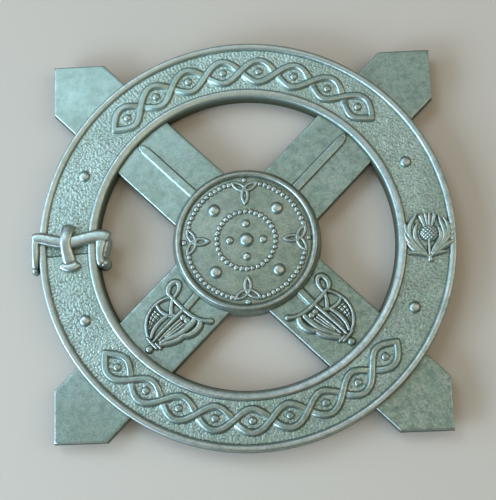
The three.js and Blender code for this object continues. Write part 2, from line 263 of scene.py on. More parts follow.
def grid_faces(rows, columns, closed_rows=False, closed_columns=False):
    """Corner numbers of the four-sided faces of a net of points."""
    row = np.arange(rows if closed_rows else rows - 1)[:, None]
    column = np.arange(columns if closed_columns else columns - 1)[None, :]
    below = (row + 1) % rows
    beside = (column + 1) % columns
    corners = [(row, column), (row, beside), (below, beside), (below, column)]
    numbers = [np.broadcast_to(r * columns + c, (row.size, column.size)) for r, c in corners]
    return np.stack(numbers, -1).reshape(-1, 4).tolist()


def net_rim(rows, columns):
    """Corner numbers once round the rim of a net of points."""
    number = np.arange(rows * columns).reshape(rows, columns)
    return np.concatenate([number[0], number[1:, -1], number[-1, -2::-1], number[-2:0:-1, 0]])


def net_points(x, y, z):
    return np.stack([x, y, z], -1).reshape(-1, 3)


def polar(radius, angle):
    return radius * math.cos(math.radians(angle)), radius * math.sin(math.radians(angle))


def arm_sheet(turn, tip):
    """One length of the saltire as a net of points: a worn edge on both sides, and round a tip."""
    edge = np.array(ARM_EDGE)
    flat = np.linspace(-(ARM_HALF_WIDTH - edge[-1, 0]), ARM_HALF_WIDTH - edge[-1, 0], ARM_COLUMNS)
    across = np.concatenate([edge[:-1, 0] - ARM_HALF_WIDTH, flat, (ARM_HALF_WIDTH - edge[:-1, 0])[::-1]])
    side_level = np.concatenate([edge[:-1, 1], np.full(ARM_COLUMNS, SHEET_THICK), edge[:-1, 1][::-1]])
    near, far = (TIP_START, None) if tip else INNER_ARM_REACH
    start = np.sqrt(near**2 - across**2)
    if tip:
        inset = edge[::-1, 0]
        reach = (HALF_SQUARE - inset[:, None]) * math.sqrt(2) - np.abs(across)[None, :]
        share = np.linspace(0, 1, ARM_ROWS)[:-1, None]
        along = np.vstack([start, start + ARM_END_STEP + (reach[0] - start - ARM_END_STEP) * share, reach])
        end_level = np.concatenate([[ARM_BACK], np.full(ARM_ROWS - 1, SHEET_THICK), edge[::-1, 1]])
    else:
        end = np.sqrt(far**2 - across**2)
        share = np.linspace(0, 1, ARM_ROWS)[:, None]
        along = np.vstack([start, start + ARM_END_STEP + (end - start - 2 * ARM_END_STEP) * share, end])
        end_level = np.concatenate([[ARM_BACK], np.full(ARM_ROWS, SHEET_THICK), [ARM_BACK]])
    level = np.minimum(end_level[:, None], side_level[None, :])
    across = np.broadcast_to(across, along.shape)
    cos, sin = polar(1, turn)
    points = net_points(along * cos - across * sin, along * sin + across * cos, level)
    faces = grid_faces(*along.shape)
    faces.append(net_rim(*along.shape).tolist())
    wear_dirt_and_shade = np.where(level < SHEET_THICK - 0.01, EDGE_WEAR, 0.0)
    # The side walls low down are painted dark, as painted shade.
    wear_dirt_and_shade = np.where(level < EDGE_SHADE_LEVEL, EDGE_SHADE, wear_dirt_and_shade)
    return points, faces, wear_dirt_and_shade.reshape(-1)


sheet_finish = white_metal("satin_sheet", crevice=0.35, spots=0.5)
struck_piece("saltire_arms", [arm_sheet(turn, False) for turn in ARM_TURNS], sheet_finish)
struck_piece("saltire_tips", [arm_sheet(turn, True) for turn in ARM_TURNS], sheet_finish)

# Strap ring. Struck up from the same sheet: two rounded rims, a sunk band between them for the ornament,
# and the hollow that striking leaves in its back. Rows are (radius, height, wear or, below zero, olive
# deposits and painted shade); the inner and outer walls are painted dark, as painted shade.
STRAP_SIDES = 480
STRAP_PROFILE = (
    (28.97, 0.0, -0.6), (29.0, 0.05, -0.6), (28.98, 0.5, -0.6), (28.95, 1.5, -0.3), (28.93, 1.8, 0.0),
    (28.89, 1.95, 0.3), (28.81, 2.05, 0.5), (28.69, 2.095, 0.5), (28.55, 2.1, 0.4), (28.36, 2.085, 0.4),
    (28.18, 2.04, 0.4), (28.07, 1.97, 0.5), (27.99, 1.87, 0.3), (27.94, 1.74, -0.3), (27.88, 1.6, -0.7),
    (27.4, 1.5, -0.5), (22.5, 1.5, -0.5), (22.22, 1.6, -0.7), (22.14, 1.76, -0.3), (22.09, 1.9, 0.3),
    (22.0, 2.02, 0.7), (21.88, 2.09, 0.7), (21.74, 2.1, 0.4), (21.58, 2.08, 0.35), (21.4, 2.04, 0.35),
    (21.22, 1.99, 0.3), (21.07, 1.93, 0.2), (20.96, 1.83, 0.0), (20.9, 1.68, -0.4), (20.84, 1.4, -0.8),
    (20.67, 0.5, -1.0), (20.6, 0.05, -1.0), (20.66, 0.0, -0.6), (21.86, 0.0, 0.0), (21.95, 0.06, 0.0),
    (22.14, 0.48, -0.2), (22.26, 0.58, -0.3), (22.4, 0.6, -0.2), (27.2, 0.6, -0.2), (27.34, 0.58, -0.3),
    (27.46, 0.48, -0.2), (27.65, 0.06, 0.0), (27.74, 0.0, 0.0),
)
STRAP_LIGHT = (0.48, 0.61, 0.565, 1.0)
STRAP_DARK = (0.40, 0.51, 0.46, 1.0)


def turned(profile, sides):
    """A closed profile of (radius, height, mark) turned about the badge's middle; a mark below zero darkens,
    and on walls that is painted shade.
    """
    profile = np.array(profile)
    angle = np.linspace(0, 2 * math.pi, sides, endpoint=False)[:, None]
    x = profile[None, :, 0] * np.cos(angle)
    y = profile[None, :, 0] * np.sin(angle)
    z = np.broadcast_to(profile[None, :, 1], x.shape)
    wear_dirt_and_shade = np.broadcast_to(profile[None, :, 2], x.shape).reshape(-1)
    return net_points(x, y, z), grid_faces(sides, len(profile), True, True), wear_dirt_and_shade


strap_finish = white_metal("satin_strap", STRAP_LIGHT, STRAP_DARK)
struck_piece("strap_ring", [turned(STRAP_PROFILE, STRAP_SIDES)], strap_finish, crease=60)

# Sunk band of the strap. The die was punched all over, so that its floor is pebbled, with a row of short
# ticks against each rim. The strap's free end lies in the buckle as a smooth step.
BAND_LEVEL = 1.65
BAND_FLOOR = 1.1
BAND_INNER = 22.02
BAND_OUTER = 27.95
BAND_ROWS = 71
BAND_SIDES = 1800
PEBBLE_PITCH = 0.35
PEBBLE_RADIUS = 0.21
PEBBLE_HEIGHT = 0.12
PEBBLE_ROW_PITCH = 0.87
PEBBLE_STRAY = 0.32
PEBBLE_DRIFT = 0.12
PEBBLE_SIZES = (0.75, 1.2)
PEBBLE_RISES = (0.45, 1.0)
PEBBLE_SPAN = 4
PEBBLE_SINK = 0.4
RIGHT_SIDE_WEAR = 0.17
WORN_TOWARDS = 0.7
TICK_PITCH = 0.48
TICK_HEIGHT = 0.07
TICK_PLACE = 0.36
TICK_LENGTH = 0.2
TICK_ROW = 0.75
TICK_SHARPNESS = 1.5
TICK_SINK = 0.03
STRAP_END = -0.95
STRAP_END_SLANT = 0.06
SMOOTH_LENGTH = 2.3
SMOOTH_FADE = 0.8
SMOOTHNESS = 0.45
END_STEP = 0.06
END_GROOVE = 0.09
END_EDGE = (-0.1, 0.02)
UNDER_END = (1.2, 1.6)
CREST_WEAR = 0.4
PIT_SOIL = 0.5
SOIL_DEPTH = 0.06
FOOT_DIRT_AND_SHADE = 0.4
FOOT_DIRT_AND_SHADE_REACH = 0.15
STUD_PLACE = 24.8
BAND_LIGHT = (0.55, 0.72, 0.67, 1.0)
BAND_DARK = (0.45, 0.60, 0.54, 1.0)


def soft_step(value, low, high):
    share = np.clip((value - low) / (high - low), 0, 1)
    return share * share * (3 - 2 * share)


def pebbles(radii, draw):
    """Heights of small uneven bumps, punched side by side over the whole band."""
    height = np.zeros((BAND_ROWS, BAND_SIDES))
    turn = 2 * math.pi / BAND_SIDES
    step = radii[1] - radii[0]
    for radius in np.arange(radii[0], radii[-1], PEBBLE_PITCH * PEBBLE_ROW_PITCH):
        count = round(2 * math.pi * radius / PEBBLE_PITCH)
        start = draw.uniform(0, 2 * math.pi)
        for i in range(count):
            angle = start + 2 * math.pi * (i + draw.uniform(-PEBBLE_STRAY, PEBBLE_STRAY)) / count
            out = radius + draw.uniform(-PEBBLE_DRIFT, PEBBLE_DRIFT)
            size = PEBBLE_RADIUS * draw.uniform(*PEBBLE_SIZES)
            rise = PEBBLE_HEIGHT * draw.uniform(*PEBBLE_RISES)
            row = round((out - radii[0]) / step)
            column = round(angle / turn)
            rows = np.arange(max(row - PEBBLE_SPAN, 0), min(row + PEBBLE_SPAN + 1, BAND_ROWS))[:, None]
            columns = np.arange(column - PEBBLE_SPAN, column + PEBBLE_SPAN + 1)[None, :]
            far = ((radii[rows] - out) / size) ** 2 + ((columns * turn - angle) * out / size) ** 2
            spot = (rows, columns % BAND_SIDES)
            height[spot] = np.maximum(height[spot], rise * (1 - far))
    return height


def band_half(radii, height, wear_dirt_and_shade_mark, first):
    """Half of the band as a closed slab, from that column on."""
    columns = np.arange(first, first + BAND_SIDES // 2 + 1)
    angle = 2 * math.pi * columns / BAND_SIDES
    rows = np.concatenate([radii[:1], radii, radii[-1:]])[:, None]
    low = np.full((1, len(columns)), BAND_FLOOR)
    none = np.zeros((1, len(columns)))
    level = np.vstack([low, height[:, columns % BAND_SIDES], low])
    wear_dirt_and_shade = np.vstack([none, wear_dirt_and_shade_mark[:, columns % BAND_SIDES], none])
    points = net_points(rows * np.cos(angle), rows * np.sin(angle), level)
    faces = grid_faces(BAND_ROWS + 2, len(columns), True, False)
    count = len(columns)
    faces.append([row * count for row in range(BAND_ROWS + 2)])
    faces.append([row * count + count - 1 for row in range(BAND_ROWS + 2)])
    return points, faces, wear_dirt_and_shade.reshape(-1)


def pebbled_band():
    draw = np.random.default_rng(11)
    radii = np.linspace(BAND_INNER, BAND_OUTER, BAND_ROWS)
    angle = np.linspace(0, 2 * math.pi, BAND_SIDES, endpoint=False)[None, :]
    x = radii[:, None] * np.cos(angle)
    y = radii[:, None] * np.sin(angle)
    left = x < 0
    crispness = 1 - RIGHT_SIDE_WEAR - RIGHT_SIDE_WEAR * np.cos(angle - WORN_TOWARDS)
    past_end = y - STRAP_END - STRAP_END_SLANT * (x + STUD_PLACE)
    smooth = left * soft_step(past_end, -SMOOTH_LENGTH - SMOOTH_FADE, -SMOOTH_LENGTH)
    smooth = smooth * (1 - soft_step(past_end, END_EDGE[0], 0.0))
    bumps = (pebbles(radii, draw) - PEBBLE_HEIGHT * PEBBLE_SINK) * crispness * (1 - SMOOTHNESS * smooth)
    under_end = left * soft_step(past_end, *END_EDGE) * (1 - soft_step(past_end, *UNDER_END))
    groove = left * np.exp(-((past_end / END_GROOVE) ** 2))
    height = BAND_LEVEL + bumps - END_STEP * under_end - END_GROOVE * groove
    ticks = (0.5 + 0.5 * np.cos(angle * round(2 * math.pi * STUD_PLACE / TICK_PITCH))) ** TICK_SHARPNESS
    for place in (BAND_INNER + TICK_PLACE, BAND_OUTER - TICK_PLACE):
        close = TICK_ROW * np.exp(-(((radii[:, None] - place) / TICK_LENGTH) ** 4)) * (1 - smooth)
        height = height * (1 - close) + (BAND_LEVEL - TICK_SINK + ticks * TICK_HEIGHT * crispness) * close
    crest = height - BAND_LEVEL
    wear_dirt_and_shade_mark = soft_step(crest, 0.01, SOIL_DEPTH) * CREST_WEAR - soft_step(-crest, 0.0, SOIL_DEPTH) * PIT_SOIL
    wear_dirt_and_shade_mark = wear_dirt_and_shade_mark - PIT_SOIL * groove
    # A dark line along the foot of each rim: olive deposits, and painted shade.
    for foot in (BAND_INNER, BAND_OUTER):
        wear_dirt_and_shade_mark = wear_dirt_and_shade_mark - FOOT_DIRT_AND_SHADE * np.exp(-(((radii[:, None] - foot) / FOOT_DIRT_AND_SHADE_REACH) ** 2))
    quarter = BAND_SIDES // 4
    return [band_half(radii, height, wear_dirt_and_shade_mark, first) for first in (quarter, 3 * quarter)]


band_finish = white_metal(
    "pebbled_band", BAND_LIGHT, BAND_DARK, crevice_dirt_and_shade=0.3, crevice=0.3, spots=0.2, grain=0.3
)
left_band, right_band = pebbled_band()
struck_piece("strap_band_left", [left_band], band_finish, crease=180)
struck_piece("strap_band_right", [right_band], band_finish, crease=180)

# Studs of the strap. Four low round heads, struck with it.
STUD_ANGLES = (24.5, 155.5, 204.5, 335.5)
STUD_RADIUS = 0.78
STUD_RISE = 0.47
HEAD_SIDES = 32
DOME_PROFILE = (
    (1.12, 0.0), (1.04, 0.07), (0.98, 0.27), (0.91, 0.5), (0.81, 0.71), (0.67, 0.86), (0.49, 0.95),
    (0.26, 0.99), (0.0, 1.0),
)
SUNK = 0.15
HEAD_WEAR = 0.6
HEAD_WORN_FROM = 0.45
HEAD_FOOT_DIRT_AND_SHADE = 0.5
HEAD_FOOT = 0.1


def dome(place, size, ground, rise, sides, stretch=1.0, turn=0.0):
    """A round head with a soft foot. The stretch is along its turn."""
    outline = np.array([(DOME_PROFILE[0][0], -SUNK / rise)] + list(DOME_PROFILE))
    angle = np.linspace(0, 2 * math.pi, sides, endpoint=False)[:, None]
    along = outline[None, :, 0] * np.cos(angle) * size * stretch
    aside = outline[None, :, 0] * np.sin(angle) * size
    cos, sin = polar(1, turn)
    x = place[0] + along * cos - aside * sin
    y = place[1] + along * sin + aside * cos
    up = outline[None, :, 1]
    z = np.broadcast_to(ground + up * rise, x.shape)
    # The foot of each head is darkened: olive deposits, and painted shade.
    wear_dirt_and_shade_mark = soft_step(up, HEAD_WORN_FROM, 1.0) * HEAD_WEAR - HEAD_FOOT_DIRT_AND_SHADE * (up < HEAD_FOOT)
    wear_dirt_and_shade = np.broadcast_to(wear_dirt_and_shade_mark, x.shape).reshape(-1)
    count = len(outline)
    faces = grid_faces(sides, count, True, False)
    faces.append([side * count for side in range(sides)])
    return net_points(x, y, z), faces, wear_dirt_and_shade


relief_finish = white_metal("struck_relief", crevice_dirt_and_shade=0.5, crevice=0.4, rough=0.4)
stud_places = [polar(STUD_PLACE, angle) for angle in STUD_ANGLES]
studs = [dome(place, STUD_RADIUS, BAND_LEVEL, STUD_RISE, HEAD_SIDES) for place in stud_places]
struck_piece("strap_studs", studs, relief_finish, crease=70)

# Plait. Two flat strands cross over and under along the top and the bottom of the strap, and close at their
# ends, with a pellet in each eye. It is raised as high as the strap's rims.
PLAIT_SWING = 1.6
PLAIT_WIDTH = 1.2
PLAIT_RISE = 0.45
PLAIT_DIP = 0.7
PLAIT_ARCS = ((90, 8), (270, 9))
PLAIT_NET = 0.075
EYE_LENGTH = 5.1
PELLET_RADIUS = 0.55
PELLET_RISE = 0.38
DIE_SUNK = 0.2
FOOT_SLOPE = 1.2
SOFT_JOINT = 0.03
PAD_REACH = 30
PLAIT_STEPS = 12
PLAIT_MARGIN = (1.2, 2.6)
PLAIT_DIP_SHARPNESS = 14
RIDGE_WEAR_AND_CREASE_SHADE = 0.7
RIDGE_BEND = (1.0, 7.0)
HOLLOW_BEND = (1.5, 8.0)
HOLLOW_EDGE = 0.1
UNDERSIDE = 0.05
BEVELLED = ((0.0, 1.0), (0.38, 1.0), (0.47, 0.97), (0.57, 0.85), (0.9, 0.14), (1.0, 0.0))


def along_curve(rows, step, closed=False):
    """Points at short steps on a smooth line through the rows, whatever else the rows hold."""
    rows = np.array(rows, float)
    if closed:
        rows = np.vstack([rows[-1:], rows, rows[:2]])
    else:
        rows = np.vstack([2 * rows[0] - rows[1], rows, 2 * rows[-1] - rows[-2]])
    lengths = []
    for a, b, c, d in zip(rows, rows[1:], rows[2:], rows[3:]):
        count = max(2, math.ceil(np.hypot(*(c - b)[:2]) / step))
        t = np.linspace(0, 1, count, endpoint=False)[:, None]
        bend = (2 * a - 5 * b + 4 * c - d) * t**2 + (3 * b - a - 3 * c + d) * t**3
        lengths.append(0.5 * (2 * b + (c - a) * t + bend))
    lengths.append(rows[-2:-1])
    return np.vstack(lengths)


class DieWork:
    """A field of struck ornament: heights over an even net of points, raised stroke by stroke."""

    def __init__(self, low, high, pitch):
        self.pitch = pitch
        across = np.arange(low[0], high[0] + pitch / 2, pitch)
        along = np.arange(low[1], high[1] + pitch / 2, pitch)
        self.x, self.y = np.meshgrid(across, along)
        self.level = np.full(self.x.shape, -DIE_SUNK)

    def follow(self, path, spread):
        """How far each point is from the path, on which side, and the path's width and rise there."""
        fields = [np.full(self.x.shape, value) for value in (np.inf, 0.0, 1.0, 0.0)]
        for start, end in zip(path, path[1:]):
            run = end[:2] - start[:2]
            reach = np.hypot(*run) / 2 + max(start[2], end[2]) / 2 * spread + 2 * DIE_SUNK
            middle = (start[:2] + end[:2]) / 2
            near = np.nonzero((np.abs(self.x - middle[0]) < reach) & (np.abs(self.y - middle[1]) < reach))
            x = self.x[near] - start[0]
            y = self.y[near] - start[1]
            share = np.clip((x * run[0] + y * run[1]) / (run @ run + 1e-12), 0, 1)
            far = np.hypot(x - share * run[0], y - share * run[1])
            width, rise = [start[k] + (end[k] - start[k]) * share for k in (2, 3)]
            closer = far < fields[0][near]
            spot = (near[0][closer], near[1][closer])
            for field, value in zip(fields, (far, np.sign(run[0] * y - run[1] * x), width, rise)):
                field[spot] = value[closer]
        return fields

    def merge(self, level, blend):
        """Raises the field to that level, with a soft joint where the two meet."""
        raised = level > -DIE_SUNK
        old = self.level[raised]
        mix = np.clip(0.5 + 0.5 * (level[raised] - old) / blend, 0, 1)
        self.level[raised] = old + (level[raised] - old) * mix + blend * mix * (1 - mix)

    def bar(self, rows, section, rise=None, closed=False, lean=0.0, step=0.12, blend=SOFT_JOINT):
        """Raises a bar along rows of (x, y, width, rise). A lean widens its left flank, not its right."""
        if rise is not None:
            rows = [tuple(row) + (rise,) for row in rows]
        gap, side, width, rise = self.follow(along_curve(rows, step, closed), 1 + abs(lean))
        half = width / 2 * (1 + lean * side)
        shares, heights = zip(*section)
        inside = rise * np.interp(gap / half, shares, heights)
        self.merge(np.where(gap < half, inside, (half - gap) * FOOT_SLOPE), blend)

    def head(self, place, size, rise, stretch=1.0, base=0.0, blend=0.02):
        """Raises a round head."""
        gap = np.hypot((self.x - place[0]) / stretch, self.y - place[1])
        shares, heights = zip(*DOME_PROFILE[::-1])
        foot = size * shares[-1]
        inside = base + rise * np.interp(gap / size, shares, heights)
        self.merge(np.where(gap < foot, inside, base + (foot - gap) * FOOT_SLOPE), blend)

    def pad(self, outline, rise):
        """Raises a flat pad with a sloping edge inside a closed outline."""
        path = along_curve([tuple(row) + (0.1, rise) for row in outline], 0.2, closed=True)
        gap = self.follow(path, PAD_REACH)[0]
        inside = np.zeros(self.x.shape, bool)
        for start, end in zip(path, path[1:]):
            crosses = (start[1] > self.y) != (end[1] > self.y)
            run = end[1] - start[1] if end[1] != start[1] else 1.0
            inside ^= crosses & (self.x < start[0] + (self.y - start[1]) / run * (end[0] - start[0]))
        level = np.where(inside, np.minimum(rise, gap * FOOT_SLOPE), -gap * FOOT_SLOPE)
        self.merge(level, SOFT_JOINT)

    def groove(self, rows, width, depth):
        """Cuts a soft groove into what is raised."""
        path = along_curve([tuple(row) + (width, depth) for row in rows], 0.15)
        gap = self.follow(path, 1)[0]
        cut = depth * np.clip(1 - gap / (width / 2), 0, 1)
        self.level = np.where(self.level > 0, np.maximum(self.level - cut, 0.01), self.level)

    def island(self, place, ground, hollow_dirt_and_shade=0.0, hollow=0.3):
        """The field as a closed form, laid on the ground level by the placing rule."""
        level = self.level
        bend = np.zeros(level.shape)
        bend[1:-1, 1:-1] = level[2:, 1:-1] + level[:-2, 1:-1] + level[1:-1, 2:] + level[1:-1, :-2]
        bend[1:-1, 1:-1] = (bend[1:-1, 1:-1] - 4 * level[1:-1, 1:-1]) / self.pitch**2
        wear_dirt_and_shade_mark = RIDGE_WEAR_AND_CREASE_SHADE * soft_step(-bend, *RIDGE_BEND)
        # Creases, and the low hollows of the work, are darkened: olive deposits, and painted shade.
        wear_dirt_and_shade_mark = wear_dirt_and_shade_mark - RIDGE_WEAR_AND_CREASE_SHADE * soft_step(bend, *HOLLOW_BEND) * (level > 0)
        wear_dirt_and_shade_mark = wear_dirt_and_shade_mark - hollow_dirt_and_shade * soft_step(hollow - level, 0.0, HOLLOW_EDGE) * (level > 0)
        x, y = place(self.x, self.y)
        points = net_points(x, y, ground + level)
        faces = grid_faces(*level.shape)
        rim = net_rim(*level.shape)
        under = points[rim].copy()
        under[:, 2] = points[:, 2].min() - UNDERSIDE
        below = np.arange(len(rim)) + level.size
        faces += np.stack([rim, np.roll(rim, -1), np.roll(below, -1), below], -1).tolist()
        faces.append(below.tolist())
        return np.vstack([points, under]), faces, np.concatenate([wear_dirt_and_shade_mark.reshape(-1), np.zeros(len(rim))])


def plait(middle, eyes):
    """Both strands, unrolled along the middle of the strap. Each dips at every second crossing."""
    length = eyes * EYE_LENGTH
    half = length / 2 + PLAIT_MARGIN[0]
    work = DieWork((-half, -PLAIT_MARGIN[1]), (half, PLAIT_MARGIN[1]), PLAIT_NET)
    for way in (1, -1):
        rows = []
        for i in range(eyes * PLAIT_STEPS + 1):
            share = i / PLAIT_STEPS
            swing = way * PLAIT_SWING * math.sin(math.pi * share)
            under = 0.5 - 0.5 * way * math.cos(math.pi * share)
            under = under**PLAIT_DIP_SHARPNESS if 0.5 < share < eyes - 0.5 else 0.0
            rise = PLAIT_RISE * (1 - PLAIT_DIP * under)
            rows.append((length / 2 - share * EYE_LENGTH, swing, PLAIT_WIDTH, rise))
        work.bar(rows, BEVELLED, step=0.15, blend=0.015)
    for i in range(eyes):
        work.head((length / 2 - EYE_LENGTH * (i + 0.5), 0.0), PELLET_RADIUS, PELLET_RISE)

    def bend_round(x, y):
        angle = math.radians(middle) + x / STUD_PLACE
        return (STUD_PLACE + y) * np.cos(angle), (STUD_PLACE + y) * np.sin(angle)

    return work.island(bend_round, BAND_LEVEL)


plait_finish = white_metal("struck_ornament", crevice_dirt_and_shade=0.6, crevice=0.45, rough=0.38)
for name, arc in (("plait_top", PLAIT_ARCS[0]), ("plait_bottom", PLAIT_ARCS[1])):
    struck_piece(name, [plait(*arc)], plait_finish, crease=180)

# Targe. A round shield struck up in the middle: a rim, a slightly domed floor, and a hollow back.
# Rows are (radius, height, wear or, below zero, olive deposits and painted shade); the outer wall is painted
# dark, as painted shade.
TARGE_SIDES = 288
TARGE_RIM = (
    (10.34, 0.0, -0.6), (10.4, 0.06, -0.6), (10.36, 0.6, -0.5), (10.26, 1.3, -0.3), (10.14, 1.75, 0.0),
    (10.04, 1.95, 0.2), (9.97, 2.04, 0.2), (9.92, 2.08, -0.3), (9.88, 2.17, 0.0), (9.82, 2.28, 0.6),
    (9.72, 2.36, 0.5), (9.58, 2.4, 0.2), (9.42, 2.39, 0.2), (9.3, 2.34, 0.5), (9.21, 2.25, 0.6),
    (9.14, 2.12, 0.2), (9.08, 1.98, -0.5), (9.02, 1.9, -0.8), (8.93, 1.9, -0.5),
)
TARGE_FLOOR = (
    (8.82, 1.93, 0.0), (8.6, 1.965, 0.0), (7.0, 2.015, 0.0), (5.0, 2.055, 0.0), (3.0, 2.085, 0.0),
    (1.2, 2.1, 0.0), (0.0, 2.1, 0.0),
)
TARGE_BACK = (
    (0.0, 0.8, 0.0), (8.2, 0.8, -0.2), (8.34, 0.77, -0.3), (9.02, 0.08, 0.0), (9.12, 0.0, 0.0),
)
TARGE_LIGHT = (0.415, 0.495, 0.41, 1.0)
TARGE_DARK = (0.32, 0.40, 0.335, 1.0)
targe_finish = white_metal("targe_face", TARGE_LIGHT, TARGE_DARK, crevice_dirt_and_shade=0.3, crevice=0.2, spots=0.4)
struck_piece("targe", [turned(TARGE_RIM + TARGE_FLOOR + TARGE_BACK, TARGE_SIDES)], targe_finish, crease=60)

# Heads and beads of the targe: a boss, four large and four small studs, a full circle of beads round them
# and an outer circle that stops at each knot. A pellet lies against the rim at each knot.
BEAD_RADIUS = 0.4
BEAD_RISE = 0.34
OUTER_BEADS = 8.25
OUTER_BEADS_EACH = 13
OUTER_BEADS_GAP = 15.0
INNER_BEADS = 4.06
INNER_BEADS_COUNT = 34
RIM_PELLET = 8.6
BEAD_SIDES = 18
BEAD_SIZES = (0.92, 1.06)
BEAD_STRAY = 0.04
BEAD_SWAY = 0.25
BEAD_STRETCH = (0.92, 1.12)
BEAD_SEATED = 0.02
BOSS = (0.96, 0.6)
TARGE_STUDS = ((4, 45, 6.15, 0.84, 0.52), (4, 0, 2.32, 0.56, 0.42))


def targe_level(radius):
    """Height of the targe's floor at a radius."""
    radii, levels, _ = zip(*TARGE_FLOOR[::-1])
    return np.interp(radius, radii, levels)


def bead_places():
    places = []
    for i in range(INNER_BEADS_COUNT):
        places.append((INNER_BEADS, 360 / INNER_BEADS_COUNT * (i + 0.5)))
    for quarter in range(4):
        span = 90 - 2 * OUTER_BEADS_GAP
        for i in range(OUTER_BEADS_EACH):
            angle = quarter * 90 + OUTER_BEADS_GAP + span * i / (OUTER_BEADS_EACH - 1)
            places.append((OUTER_BEADS, angle))
        places.append((RIM_PELLET, quarter * 90))
    return places


draw = np.random.default_rng(5)
beads = []
for radius, angle in bead_places():
    size = BEAD_RADIUS * draw.uniform(*BEAD_SIZES)
    away = radius + draw.uniform(-BEAD_STRAY, BEAD_STRAY)
    place = polar(away, angle + draw.uniform(-BEAD_SWAY, BEAD_SWAY))
    stretch = draw.uniform(*BEAD_STRETCH)
    seat = targe_level(radius) - BEAD_SEATED
    beads.append(dome(place, size, seat, BEAD_RISE, BEAD_SIDES, stretch, draw.uniform(0, 180)))
struck_piece("targe_beads", beads, relief_finish, crease=70)

heads = [dome((0.0, 0.0), BOSS[0], targe_level(0) - BEAD_SEATED, BOSS[1], HEAD_SIDES + 4)]
for count, first, radius, size, rise in TARGE_STUDS:
    for i in range(count):
        place = polar(radius, first + 360 / count * i)
        heads.append(dome(place, size, targe_level(radius) - BEAD_SEATED / 2, rise, HEAD_SIDES))
struck_piece("targe_studs", heads, relief_finish, crease=70)

# Knots of the targe: four three-lobed loops of one cord, each with a lobe to the middle and two along the
# rim. Every lobe is a pointed almond, between two of the cord's three arcs.
KNOT_PLACE = 7.2
KNOT_LOBE = 1.98
KNOT_OFF_CENTRE = 0.84
KNOT_CORD = 0.6
KNOT_RISE = 0.36
KNOT_STEPS = 12
KNOT_NET = 0.05
KNOT_FIELD = ((-2.5, -2.4), (1.7, 2.4))
KNOT_CREST = ((0.0, 1.0), (0.3, 0.985), (0.5, 0.88), (0.72, 0.54), (0.9, 0.16), (1.0, 0.0))


def laid_out(turn, out=0.0, side=1):
    """The rule that lays a field along a turned line, from that far out, and mirrored where side is -1."""
    cos, sin = polar(1, turn)

    def place(x, y):
        return (out + x) * cos - side * y * sin, (out + x) * sin + side * y * cos

    return place


def knot(turn):
    work = DieWork(*KNOT_FIELD, KNOT_NET)
    reach = math.sqrt(1 + KNOT_OFF_CENTRE**2 - KNOT_OFF_CENTRE)
    half = math.degrees(math.asin(math.sin(math.radians(60)) / reach))
    for away in (60, 180, 300):
        middle = polar(KNOT_OFF_CENTRE, away + 180)
        rows = []
        for step in range(KNOT_STEPS + 1):
            x, y = np.add(middle, polar(reach, away + half * (2 * step / KNOT_STEPS - 1)))
            rows.append((KNOT_LOBE * x, KNOT_LOBE * y, KNOT_CORD, KNOT_RISE))
        work.bar(rows, KNOT_CREST, step=0.1, blend=0.02)
    ground = targe_level(np.hypot(KNOT_PLACE + work.x, work.y))
    return work.island(laid_out(turn, KNOT_PLACE), ground)


struck_piece("targe_knots", [knot(turn) for turn in (0, 90, 180, 270)], relief_finish, crease=180)

# Sword blades on the upper arms: bars with a wide bevel on the left, a flat top and a steep right flank, and
# a blunt point. They come out from under the targe. Rows are (distance out, offset across it, width, rise).
BLADE = (
    (9.7, 0.0, 1.55, 0.42), (13.0, 0.0, 1.55, 0.42), (18.7, 0.0, 1.52, 0.42), (19.4, 0.04, 1.44, 0.42),
    (19.9, 0.1, 1.24, 0.41), (20.2, 0.14, 1.0, 0.36),
)
BLADE_SECTION = ((0.0, 1.0), (0.58, 1.0), (0.66, 0.97), (0.74, 0.86), (0.95, 0.12), (1.0, 0.0))
BLADE_LEAN = 0.2
BLADE_NET = 0.06
BLADE_FIELD = ((9.3, -1.4), (20.9, 1.5))


def blade(turn, side):
    work = DieWork(*BLADE_FIELD, BLADE_NET)
    work.bar(BLADE, BLADE_SECTION, lean=BLADE_LEAN, step=0.3)
    return work.island(laid_out(turn, side=side), SHEET_THICK)


struck_piece("sword_blades", [blade(45, 1), blade(135, 1)], relief_finish, crease=180)

